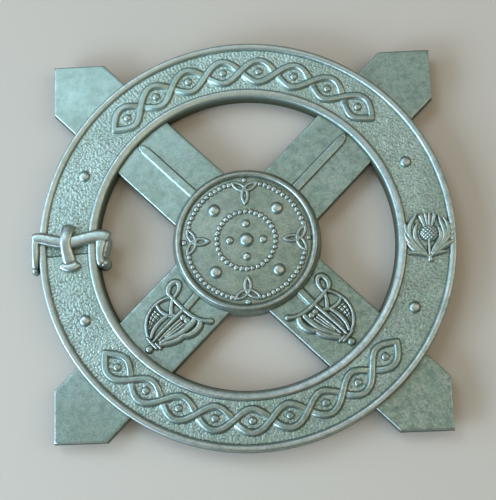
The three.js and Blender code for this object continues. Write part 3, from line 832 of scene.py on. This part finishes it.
# Basket hilts on the lower arms, mirror images: an S-shaped quillon with a knob and a looped end, a basket
# of broad ribs that touch, over a pebbled and a fluted panel, a collar and a round pommel. A stub of blade
# runs under the targe. A rib has its rise, lean and section, then rows of (distance out, offset, width).
HILT_NET = 0.062
HILT_FIELD = ((9.4, -4.9), (20.9, 4.3))
THIN_CREST = ((0.0, 1.0), (0.24, 0.985), (0.46, 0.88), (0.7, 0.54), (0.88, 0.18), (1.0, 0.0))
HILT_RIBS = (
    (0.56, 0.0, KNOT_CREST, (
        (12.78, 2.3, 0.6), (12.84, 1.34, 0.6), (12.87, 0.45, 0.6), (12.87, -0.6, 0.62),
        (12.79, -1.44, 0.64), (12.63, -2.2, 0.62), (12.36, -2.96, 0.58), (11.97, -3.58, 0.62),
        (11.6, -4.0, 0.8),
    )),
    (0.5, 0.2, THIN_CREST, (
        (12.93, 2.34, 0.6), (13.63, 2.7, 0.56), (14.44, 2.97, 0.52), (15.34, 3.08, 0.48),
        (16.19, 2.98, 0.46), (16.96, 2.73, 0.46), (17.61, 2.35, 0.48), (18.16, 1.86, 0.5),
        (18.61, 1.26, 0.5), (18.98, 0.52, 0.46),
    )),
    (0.5, 0.0, KNOT_CREST, (
        (12.97, 1.9, 0.4), (13.53, 1.5, 0.56), (14.05, 1.08, 0.62), (14.5, 0.6, 0.6),
    )),
    (0.46, 0.0, THIN_CREST, (
        (15.0, 2.9, 0.5), (15.2, 2.04, 0.55), (15.08, 1.3, 0.6), (14.78, 0.63, 0.6), (14.31, 0.15, 0.5),
    )),
    (0.5, 0.0, KNOT_CREST, (
        (15.1, 0.85, 0.5), (15.9, 0.98, 0.6), (16.77, 1.0, 0.64), (17.55, 0.9, 0.6), (18.2, 0.66, 0.54),
        (18.72, 0.36, 0.44),
    )),
    (0.52, 0.0, THIN_CREST, (
        (13.1, -0.2, 0.6), (14.03, -0.17, 0.62), (15.32, -0.14, 0.62), (16.61, -0.12, 0.58),
        (17.84, -0.15, 0.52), (18.8, -0.24, 0.46),
    )),
    (0.44, 0.0, THIN_CREST, (
        (14.3, -0.86, 0.42), (15.15, -0.78, 0.46), (16.31, -0.72, 0.44), (17.35, -0.7, 0.4),
        (18.2, -0.72, 0.36),
    )),
    (0.42, 0.0, THIN_CREST, (
        (14.4, -1.26, 0.38), (15.2, -1.16, 0.38), (16.3, -1.05, 0.38), (17.3, -0.98, 0.34),
    )),
    (0.44, 0.0, THIN_CREST, (
        (14.3, -1.68, 0.4), (15.18, -1.56, 0.42), (16.2, -1.38, 0.42), (17.13, -1.22, 0.4),
        (17.9, -1.05, 0.36),
    )),
    (0.52, 0.15, KNOT_CREST, (
        (13.1, -2.36, 0.85), (14.0, -2.36, 0.9), (14.9, -2.3, 0.86), (15.6, -2.16, 0.8),
        (16.54, -1.84, 0.72), (17.43, -1.44, 0.62), (18.3, -1.12, 0.5),
    )),
    (0.48, -0.25, THIN_CREST, (
        (12.55, -2.95, 0.75), (13.2, -3.3, 0.9), (13.9, -3.36, 0.95), (14.66, -3.22, 0.9),
        (15.3, -2.88, 0.75), (15.62, -2.55, 0.5),
    )),
    (0.46, -0.2, THIN_CREST, (
        (15.3, -2.7, 0.65), (16.3, -2.52, 0.8), (17.2, -2.12, 0.78), (18.0, -1.6, 0.7), (18.7, -1.1, 0.55),
    )),
    (0.58, 0.0, KNOT_CREST, (
        (19.16, 0.62, 0.44), (19.22, -0.1, 0.5), (19.26, -1.2, 0.48),
    )),
    (0.55, 0.0, KNOT_CREST, (
        (18.86, -0.7, 0.4), (18.88, -1.6, 0.44),
    )),
)
HILT_LOOP = (
    (12.79, 1.97, 0.66), (12.74, 2.75, 0.84), (12.36, 3.27, 1.0), (11.74, 3.54, 1.06), (11.1, 3.46, 1.06),
    (10.76, 3.12, 1.02), (10.78, 2.72, 0.98), (11.2, 2.3, 0.88), (11.81, 2.06, 0.76), (12.36, 1.96, 0.68),
)
HILT_LOOP_RISE = 0.5
HILT_BREADTH = 1.36
HILT_STUB = ((9.7, -0.1, 1.45, 0.3), (11.2, -0.19, 1.45, 0.3), (12.9, -0.3, 1.45, 0.3))
HILT_POMMEL = ((20.05, -0.57), 0.56, 0.62)
HILT_KNOB = ((11.5, -4.1), 0.44, 0.55)
PEBBLE_PANEL = (
    (15.2, 2.9), (16.2, 2.9), (17.0, 2.6), (17.7, 2.1), (18.4, 1.3), (17.6, 1.2), (16.6, 1.3), (15.4, 1.2),
)
FLUTED_PANEL = (
    (13.0, -0.1), (14.5, 0.0), (16.5, 0.0), (18.9, -0.2), (18.7, -1.1), (17.4, -1.5), (16.2, -1.95),
    (14.9, -2.3), (13.2, -2.5), (12.9, -1.4),
)
PANEL_RISE = 0.2
LATTICE_PAD = ((15.4, 1.45), (15.45, 2.8), (16.4, 2.8), (17.2, 2.5), (17.9, 1.9), (17.7, 1.3), (16.6, 1.4))
LATTICE_RISE = 0.44
LATTICE_ACROSS = (15.9, 16.45, 17.0, 17.5)
LATTICE_ALONG = ((15.3, 2.1), (16.5, 2.1), (17.9, 1.55))
LATTICE_SPAN = (1.2, 2.9)
LATTICE_SLANT = 0.05
LATTICE_GROOVE = (0.2, 0.2)
BASKET_PELLETS = ((13.72, -0.92), (13.66, -1.62))
BASKET_PELLET = (0.45, 0.34)
# How dark the hilts' hollows between ribs are: olive deposits, and painted shade.
HOLLOW_DIRT_AND_SHADE = 0.45


def hilt(turn, side):
    work = DieWork(*HILT_FIELD, HILT_NET)
    work.bar(HILT_STUB, BEVELLED, step=0.3)
    work.pad(PEBBLE_PANEL, PANEL_RISE)
    work.pad(FLUTED_PANEL, PANEL_RISE)
    work.pad(LATTICE_PAD, LATTICE_RISE)
    for out in LATTICE_ACROSS:
        work.groove([(out, LATTICE_SPAN[0]), (out + LATTICE_SLANT, LATTICE_SPAN[1])], *LATTICE_GROOVE)
    work.groove(LATTICE_ALONG, *LATTICE_GROOVE)
    for rise, lean, section, rows in HILT_RIBS:
        broad = [(out, off, width * HILT_BREADTH) for out, off, width in rows]
        work.bar(broad, section, rise, lean=lean)
    work.bar(HILT_LOOP, KNOT_CREST, HILT_LOOP_RISE, closed=True, step=0.1)
    for place in BASKET_PELLETS:
        work.head(place, BASKET_PELLET[0], BASKET_PELLET[1], base=PANEL_RISE)
    work.head(*HILT_POMMEL)
    work.head(*HILT_KNOB)
    return work.island(laid_out(turn, side=side), SHEET_THICK, HOLLOW_DIRT_AND_SHADE)


hilt_finish = white_metal("hilt_relief", crevice_dirt_and_shade=0.65, crevice=0.35, rough=0.36)
for name, turn, side in (("hilt_left", 225, -1), ("hilt_right", 315, 1)):
    struck_piece(name, [hilt(turn, side)], hilt_finish, crease=180)

# Buckle. A sagging bar with a leg at each end, both rolled to a knob, a low flank beside the inner leg, and
# a tongue that comes over the bar and ends in a curved foot. Rows are (x, y, width, rise) above the strap's
# band, and for legs and flank above their own low level, beside the strap.
BUCKLE_BAR = (
    (-29.95, 1.42, 1.3, 0.96), (-29.2, 1.46, 1.6, 1.0), (-28.4, 1.38, 1.74, 1.0), (-27.15, 1.07, 1.78, 0.98),
    (-25.9, 0.82, 1.78, 0.96), (-25.0, 0.74, 1.78, 0.96), (-24.1, 0.8, 1.8, 0.96), (-22.7, 1.14, 1.8, 0.98),
    (-21.2, 1.43, 1.8, 1.0), (-20.2, 1.45, 1.86, 1.0), (-19.4, 1.34, 1.8, 0.98), (-18.95, 1.2, 1.6, 0.9),
)
BUCKLE_LOW = 0.3
FLANK_LOW = 0.22
BUCKLE_OUTER_LEG = (
    (-29.36, 1.6, 1.2, 2.3), (-29.4, 0.5, 1.16, 2.28), (-29.4, -0.4, 1.1, 2.22), (-29.42, -1.3, 1.04, 2.1),
    (-29.46, -2.2, 0.94, 1.85), (-29.5, -2.9, 0.8, 1.5),
)
BUCKLE_INNER_LEG = (
    (-20.15, 1.6, 1.7, 2.3), (-20.2, 0.6, 1.6, 2.25), (-20.36, -0.42, 1.3, 2.2), (-20.42, -1.32, 1.14, 2.12),
    (-20.28, -2.14, 1.2, 2.05), (-19.9, -2.62, 1.2, 1.95),
)
BUCKLE_FLANK = (
    (-19.78, 1.5, 1.75, 2.15), (-19.78, 0.6, 1.7, 2.05), (-19.9, -0.3, 1.5, 1.9), (-20.04, -1.1, 1.24, 1.72),
    (-20.06, -1.75, 1.1, 1.6),
)
BUCKLE_KNOBS = (((-29.5, -3.05), 0.49, 0.9, 1.25), ((-19.82, -2.28), 0.8, 0.5, 1.62))
TONGUE = (
    (-24.74, 3.35, 1.4, 0.72), (-24.8, 2.75, 1.8, 0.95), (-24.94, 1.85, 1.8, 1.2), (-25.08, 0.9, 1.7, 1.29),
    (-25.06, 0.0, 1.66, 1.16), (-24.88, -0.9, 1.74, 0.94), (-24.68, -1.7, 1.78, 0.8),
    (-24.56, -2.4, 1.6, 0.68),
)
TONGUE_FOOT = (
    (-25.9, -2.3, 0.8, 0.55), (-25.35, -2.7, 1.06, 0.7), (-24.6, -2.84, 1.22, 0.76),
    (-23.9, -2.66, 1.24, 0.78), (-23.3, -2.16, 1.1, 0.7),
)
BENT_BAR = (
    (1.0, 0.0), (0.995, 0.45), (0.96, 0.66), (0.88, 0.8), (0.74, 0.9), (0.54, 0.965), (0.3, 0.995),
    (0.0, 1.0),
)
TALL_LEG = (
    (1.0, 0.0), (0.995, 0.6), (0.97, 0.78), (0.89, 0.88), (0.74, 0.945), (0.54, 0.98), (0.3, 0.997),
    (0.0, 1.0),
)
END_STEPS = (0.02, 0.08, 0.18, 0.34, 0.6)
END_GAP = 0.05
END_ROUND = 0.3
END_WIDTH = 0.45
END_RISE = 0.5
BAR_WEAR = 0.6
BAR_CREST_WEAR = 0.3
BAR_CREST = 0.9
BAR_WORN = (0.02, 0.12)
BAR_CREST_REACH = 0.11


def rounded_ends(path):
    """Closes both ends of a path of (x, y, width, rise) in a quarter round."""
    gone = np.concatenate([[0], np.cumsum(np.hypot(*np.diff(path[:, :2], axis=0).T))])
    whole = gone[-1]
    close = np.array(END_STEPS)
    starts = close * path[0, 2] / 2
    ends = whole - close * path[-1, 2] / 2
    keep = gone[(gone > starts[-1] + END_GAP) & (gone < ends[-1] - END_GAP)]
    spots = np.concatenate([starts, keep, ends[::-1]])
    even = np.stack([np.interp(spots, gone, path[:, k]) for k in range(4)], -1)
    to_end = np.minimum(spots / (path[0, 2] * END_ROUND), (whole - spots) / (path[-1, 2] * END_ROUND))
    share = np.sqrt(np.clip(1 - (1 - np.clip(to_end, 0, 1)) ** 2, 0, 1))
    even[:, 2] *= END_WIDTH + (1 - END_WIDTH) * share
    even[:, 3] *= END_RISE + (1 - END_RISE) * share
    return even


def tube_faces(rows, columns):
    """The faces of a net closed round a path, and of its two ends."""
    faces = grid_faces(rows, columns, False, True)
    faces.append(list(range(columns)))
    faces.append([(rows - 1) * columns + k for k in range(columns)])
    return faces


def raised_bar(rows, ground, section, step=0.12):
    """A bent bar of that section along rows of (x, y, width, rise), standing on the ground level."""
    path = rounded_ends(along_curve(rows, step))
    heading = np.gradient(path[:, :2], axis=0)
    heading /= np.linalg.norm(heading, axis=1, keepdims=True) + 1e-12
    half = np.array(section)
    side = np.concatenate([[-1.0], -half[:, 0], half[-2::-1, 0], [1.0]])
    level = np.concatenate([half[:, 1], half[-2::-1, 1]])
    shift = side[None, :] * path[:, 2:3] / 2
    x = path[:, 0:1] - heading[:, 1:2] * shift
    y = path[:, 1:2] + heading[:, 0:1] * shift
    body = ground + level[None, :] * path[:, 3:4]
    skirt = np.full((len(path), 1), ground - SUNK)
    z = np.hstack([skirt, body, skirt])
    edge = np.abs(np.concatenate([[0.0], level, [0.0]]) - BAR_CREST)
    wear_dirt_and_shade_mark = BAR_WEAR * (1 - soft_step(edge, *BAR_WORN)) + BAR_CREST_WEAR * (edge < BAR_CREST_REACH)
    wear_dirt_and_shade = np.broadcast_to(wear_dirt_and_shade_mark[None, :], x.shape).reshape(-1)
    return net_points(x, y, z), tube_faces(*x.shape), wear_dirt_and_shade


buckle_frame = [
    raised_bar(BUCKLE_OUTER_LEG, BUCKLE_LOW, TALL_LEG),
    raised_bar(BUCKLE_INNER_LEG, BUCKLE_LOW, TALL_LEG),
    raised_bar(BUCKLE_FLANK, FLANK_LOW, BENT_BAR),
    raised_bar(BUCKLE_BAR, BAND_LEVEL, BENT_BAR),
]
for place, size, low, rise in BUCKLE_KNOBS:
    buckle_frame.append(dome(place, size, low, rise, HEAD_SIDES + 4))
buckle_finish = white_metal("bent_buckle", crevice_dirt_and_shade=0.6, crevice=0.5, rough=0.38)
struck_piece("buckle_frame", buckle_frame, buckle_finish, crease=70)
buckle_tongue = [raised_bar(rows, BAND_LEVEL, BENT_BAR) for rows in (TONGUE, TONGUE_FOOT)]
struck_piece("buckle_tongue", buckle_tongue, buckle_finish, crease=70)

# Thistle. A scaled ball with a fan of florets on a short stalk, between two leaves of long pointed lobes
# that touch. A lobe has its rise above the strap's band, then rows of (x, y, width).
THISTLE_NET = 0.055
THISTLE_FIELD = ((21.0, -4.5), (28.6, 3.2))
THISTLE_BALL = ((25.12, -0.05), 1.22, 0.76)
THISTLE_LOBES = (
    (0.46, (
        (24.5, -2.9, 0.5), (23.87, -1.94, 0.74), (23.34, -1.11, 0.78), (23.12, -0.29, 0.72),
        (23.18, 0.5, 0.66), (23.5, 1.3, 0.3),
    )),
    (0.5, (
        (24.3, -2.9, 0.5), (23.28, -1.91, 0.76), (22.69, -1.01, 0.78), (22.38, -0.05, 0.76),
        (22.43, 0.82, 0.8), (22.79, 1.62, 0.72), (23.2, 2.24, 0.5), (23.46, 2.75, 0.2),
    )),
    (0.44, ((22.7, -0.9, 0.5), (22.16, -0.05, 0.66), (21.93, 0.71, 0.62), (21.84, 1.4, 0.24))),
    (0.47, (
        (23.6, -2.65, 0.5), (22.83, -1.89, 0.72), (22.29, -1.13, 0.7), (21.9, -0.51, 0.58),
        (21.68, 0.06, 0.24),
    )),
    (0.43, ((23.94, -2.82, 0.5), (23.12, -2.38, 0.74), (22.5, -1.88, 0.66), (21.98, -1.4, 0.24))),
    (0.48, (
        (24.86, -3.3, 0.4), (24.2, -2.98, 0.64), (23.43, -2.8, 0.74), (22.78, -2.76, 0.66),
        (22.2, -2.88, 0.3),
    )),
    (0.46, (
        (25.25, -2.85, 0.5), (25.76, -2.02, 0.78), (26.26, -1.38, 0.8), (26.57, -0.72, 0.74),
        (26.6, 0.02, 0.64), (26.32, 0.72, 0.28),
    )),
    (0.52, (
        (25.4, -3.05, 0.5), (26.06, -2.31, 0.76), (26.77, -1.53, 0.84), (27.13, -0.74, 0.86),
        (27.18, 0.06, 0.86), (26.99, 0.82, 0.8), (26.71, 1.51, 0.64), (26.48, 2.3, 0.24),
    )),
    (0.46, (
        (26.8, -1.8, 0.5), (27.44, -0.89, 0.76), (27.7, -0.03, 0.78), (27.7, 0.72, 0.74), (27.49, 1.4, 0.6),
        (27.1, 2.0, 0.24),
    )),
    (0.42, ((27.5, 0.4, 0.5), (28.0, 0.86, 0.5), (28.4, 1.18, 0.2))),
    (0.42, ((27.65, -0.25, 0.54), (28.04, 0.1, 0.5), (28.42, 0.38, 0.2))),
    (0.42, ((27.6, -0.85, 0.54), (28.0, -0.57, 0.5), (28.42, -0.32, 0.2))),
    (0.48, (
        (26.1, -2.6, 0.5), (27.0, -1.97, 0.76), (27.75, -1.53, 0.7), (28.35, -1.27, 0.54),
        (28.72, -1.04, 0.24),
    )),
    (0.46, (
        (25.08, -3.4, 0.4), (25.62, -3.06, 0.62), (26.29, -2.86, 0.68), (26.81, -2.78, 0.58),
        (27.25, -2.82, 0.26),
    )),
)
LEAF_FIELD = (
    (0.1, -3.25), (1.4, -3.0), (2.1, -2.7), (2.3, -2.1), (3.0, -1.4), (2.9, -0.7), (2.9, 0.3), (2.5, 1.3),
    (1.75, 1.9), (1.8, 0.9), (1.6, 0.2), (1.5, -0.8), (0.45, -2.4),
)
LEAF_FIELD_RISE = 0.3
LEAF_MIDDLE = 25.08
LEAF_SHIFT = 0.08
LEAF_RISE = 0.06
LEAF_BREADTH = 1.32
LEAF_HOLLOW = 0.4
# The thistle's hollows are darkened a little: olive deposits, and painted shade.
THISTLE_DIRT_AND_SHADE = 0.1
LEAF_LEAN = 0.12
THISTLE_STALK = (
    (25.08, -1.1, 0.5), (25.06, -1.92, 0.54), (25.04, -2.6, 0.52), (25.04, -3.2, 0.54), (25.1, -3.7, 0.74),
)
STALK_END = ((25.12, -3.76), 0.4, 0.5)
FLORETS = (
    ((24.62, 0.8, 0.66), (24.38, 1.6, 0.88), (24.14, 2.3, 1.0)),
    ((24.98, 0.9, 0.4), (24.88, 1.7, 0.6), (24.78, 2.5, 0.66)),
    ((25.22, 0.9, 0.4), (25.27, 1.7, 0.58), (25.33, 2.56, 0.64)),
    ((25.5, 0.8, 0.54), (25.76, 1.6, 0.74), (26.0, 2.4, 0.84)),
)
FAN_EDGE = (
    (23.88, 2.32, 0.32), (24.36, 2.6, 0.32), (24.86, 2.74, 0.32), (25.34, 2.76, 0.32), (25.86, 2.68, 0.32),
    (26.26, 2.46, 0.32),
)
FAN_FIELD = ((24.45, 0.6), (24.0, 2.3), (24.6, 2.65), (25.2, 2.76), (25.8, 2.65), (26.2, 2.4), (25.75, 0.6))
FAN_FIELD_RISE = 0.34
FLORET_RISE = 0.52
FAN_EDGE_RISE = 0.5
BALL_STRETCH = 1.06
BALL_JOINT = 0.02
SCALE_PITCH = 0.54
SCALE_REACH = 1.2
SCALE_GROOVE = (0.2, 0.11)
THISTLE_LIGHT = (0.585, 0.79, 0.73, 1.0)
THISTLE_DARK = (0.49, 0.67, 0.60, 1.0)


def thistle():
    work = DieWork(*THISTLE_FIELD, THISTLE_NET)

    def along_strap(rows):
        return [(math.hypot(x, y), math.atan2(y, x) * STUD_PLACE, *more) for x, y, *more in rows]

    work.pad(along_strap(FAN_FIELD), FAN_FIELD_RISE)
    for way in (-1, 1):
        leaf = [(LEAF_MIDDLE + way * x, y) for x, y in LEAF_FIELD]
        work.pad(along_strap(leaf), LEAF_FIELD_RISE)
    for rise, rows in THISTLE_LOBES:
        lean = LEAF_LEAN if rows[0][0] < THISTLE_BALL[0][0] else -LEAF_LEAN
        broad = [(x + LEAF_SHIFT, y, width * LEAF_BREADTH) for x, y, width in rows]
        work.bar(along_strap(broad), THIN_CREST, rise + LEAF_RISE, lean=lean, step=0.1)
    work.bar(along_strap(THISTLE_STALK), KNOT_CREST, FLORET_RISE)
    work.head(along_strap([STALK_END[0]])[0], *STALK_END[1:])
    for rows in FLORETS:
        work.bar(along_strap(rows), KNOT_CREST, FLORET_RISE, step=0.1)
    work.bar(along_strap(FAN_EDGE), KNOT_CREST, FAN_EDGE_RISE)
    (x, y), radius, rise = THISTLE_BALL
    ball = DieWork(*THISTLE_FIELD, THISTLE_NET)
    ball.head((x, y), radius, rise, stretch=BALL_STRETCH)
    for way in (-1, 1):
        for step in range(-2, 3):
            off = x + (step + 0.5 * (way > 0)) * SCALE_PITCH
            ends = [(off - SCALE_REACH, y - way * SCALE_REACH), (off + SCALE_REACH, y + way * SCALE_REACH)]
            ball.groove(ends, *SCALE_GROOVE)
    work.merge(ball.level, BALL_JOINT)

    def bend_round(radius, arc):
        return radius * np.cos(arc / STUD_PLACE), radius * np.sin(arc / STUD_PLACE)

    return work.island(bend_round, BAND_LEVEL, THISTLE_DIRT_AND_SHADE, LEAF_HOLLOW)


thistle_finish = white_metal("thistle_relief", THISTLE_LIGHT, THISTLE_DARK, crevice_dirt_and_shade=0.3, crevice=0.2)
struck_piece("thistle", [thistle()], thistle_finish, crease=180)

# Back loops. Two bent wires are brazed into the hollow of the strap, behind the buckle and the thistle. A
# split pin holds them behind the cap, and here the badge rests on them.
LOOP_WIRE = 0.6
LOOP_BEND = 0.95
LOOP_TURN_LEVEL = -0.05
LOOP_ROOT = 1.2
LOOP_SIDES = 20
LOOP_STEPS = 25
LEG_STEPS = 6
BRAZE_SIDES = 28
LOOP_PLACES = (-24.8, 24.8)
WIRE_LIGHT = (0.38, 0.40, 0.33, 1.0)
WIRE_DARK = (0.26, 0.28, 0.21, 1.0)
BRAZE_PROFILE = (
    (0.95, 0.9, 0.0), (0.95, 0.6, 0.0), (0.82, 0.52, 0.0), (0.68, 0.4, 0.0), (0.61, 0.3, 0.0),
    (0.5, 0.3, 0.0), (0.5, 0.9, 0.0),
)


def wire_loop(place):
    """A round wire in a U, open end up, bent over beneath the badge."""
    level = [(-LOOP_BEND, z) for z in np.linspace(LOOP_ROOT, LOOP_TURN_LEVEL, LEG_STEPS, endpoint=False)]
    for angle in np.linspace(180, 360, LOOP_STEPS):
        out, up = polar(LOOP_BEND, angle)
        level.append((out, LOOP_TURN_LEVEL + up))
    level += [(LOOP_BEND, z) for z in np.linspace(LOOP_TURN_LEVEL, LOOP_ROOT, LEG_STEPS + 1)[1:]]
    line = np.array(level)
    heading = np.gradient(line, axis=0)
    heading /= np.linalg.norm(heading, axis=1, keepdims=True)
    round_wire = np.linspace(0, 2 * math.pi, LOOP_SIDES, endpoint=False)
    side = np.cos(round_wire) * LOOP_WIRE
    out = np.sin(round_wire) * LOOP_WIRE
    x = place + np.broadcast_to(side, (len(line), LOOP_SIDES))
    y = line[:, 0:1] - heading[:, 1:2] * out
    z = line[:, 1:2] + heading[:, 0:1] * out
    return net_points(x, y, z), tube_faces(*x.shape), 0.0


def braze(place):
    """A cone of braze that runs from the hollow's roof down a leg of the loop."""
    islands = []
    for leg in (-LOOP_BEND, LOOP_BEND):
        points, faces, wear_dirt_and_shade = turned(BRAZE_PROFILE, BRAZE_SIDES)
        islands.append((points + np.array([place, leg, 0.0]), faces, wear_dirt_and_shade))
    return islands


loop_finish = white_metal("brazed_wire", WIRE_LIGHT, WIRE_DARK)
loops = []
for place in LOOP_PLACES:
    loops.append(wire_loop(place))
    loops.extend(braze(place))
struck_piece("back_loops", loops, loop_finish, crease=50)

# Floor and light. A plain pale floor under the badge, a wide cool window low on the left with a brighter
# patch at its sill, soft light from overhead and from the ceiling, and a weak warm one on the right.
FLOOR_REACH = 2.0
FLOOR_COLOUR = (0.62, 0.55, 0.47, 1.0)
FLOOR_ROUGHNESS = 0.7
SKY_COLOUR = (0.94, 0.89, 0.74, 1.0)
SKY_STRENGTH = 0.17

floor_mesh = bpy.data.meshes.new("floor")
floor_corners = [(x * FLOOR_REACH, y * FLOOR_REACH, 0.0) for x, y in ((-1, -1), (1, -1), (1, 1), (-1, 1))]
floor_mesh.from_pydata(floor_corners, [], [(0, 1, 2, 3)])
floor_paint = MetalFinish("pale_floor")
look = {"Base Color": FLOOR_COLOUR, "Roughness": FLOOR_ROUGHNESS}
paint = floor_paint.node("ShaderNodeBsdfPrincipled", look)
floor_paint.node("ShaderNodeOutputMaterial", {"Surface": paint.outputs[0]})
floor_mesh.materials.append(floor_paint.material)
floor = bpy.data.objects.new("floor", floor_mesh)
bpy.context.collection.objects.link(floor)


def soft_light(name, place, size, power, colour):
    lamp_data = bpy.data.lights.new(name, "AREA")
    lamp_data.shape = "RECTANGLE"
    lamp_data.size, lamp_data.size_y = size
    lamp_data.energy = power
    lamp_data.color = colour
    lamp = bpy.data.objects.new(name, lamp_data)
    lamp.location = place
    lamp.rotation_euler = Vector(place).to_track_quat("Z", "Y").to_euler()
    lamp.visible_camera = False
    bpy.context.collection.objects.link(lamp)


soft_light("window", (-0.30, -0.09, 0.155), (0.55, 0.2), 1.58, (0.53, 0.75, 1.0))
soft_light("sill", (-0.28, -0.13, 0.14), (0.13, 0.1), 0.4, (0.60, 0.84, 1.0))
soft_light("overhead", (-0.20, 0.21, 0.43), (0.26, 0.24), 0.72, (0.635, 0.83, 1.0))
soft_light("ceiling", (0.16, -0.02, 0.5), (0.45, 0.45), 0.5, (1.0, 0.92, 0.7))
soft_light("warm_side", (0.36, 0.02, 0.30), (0.30, 0.30), 0.3, (1.0, 0.93, 0.84))

world = bpy.data.worlds.new("studio")
world.use_nodes = True
sky = world.node_tree.nodes["Background"].inputs
sky["Color"].default_value = SKY_COLOUR
sky["Strength"].default_value = SKY_STRENGTH
bpy.context.scene.world = world
bpy.context.scene.view_settings.view_transform = "Standard"
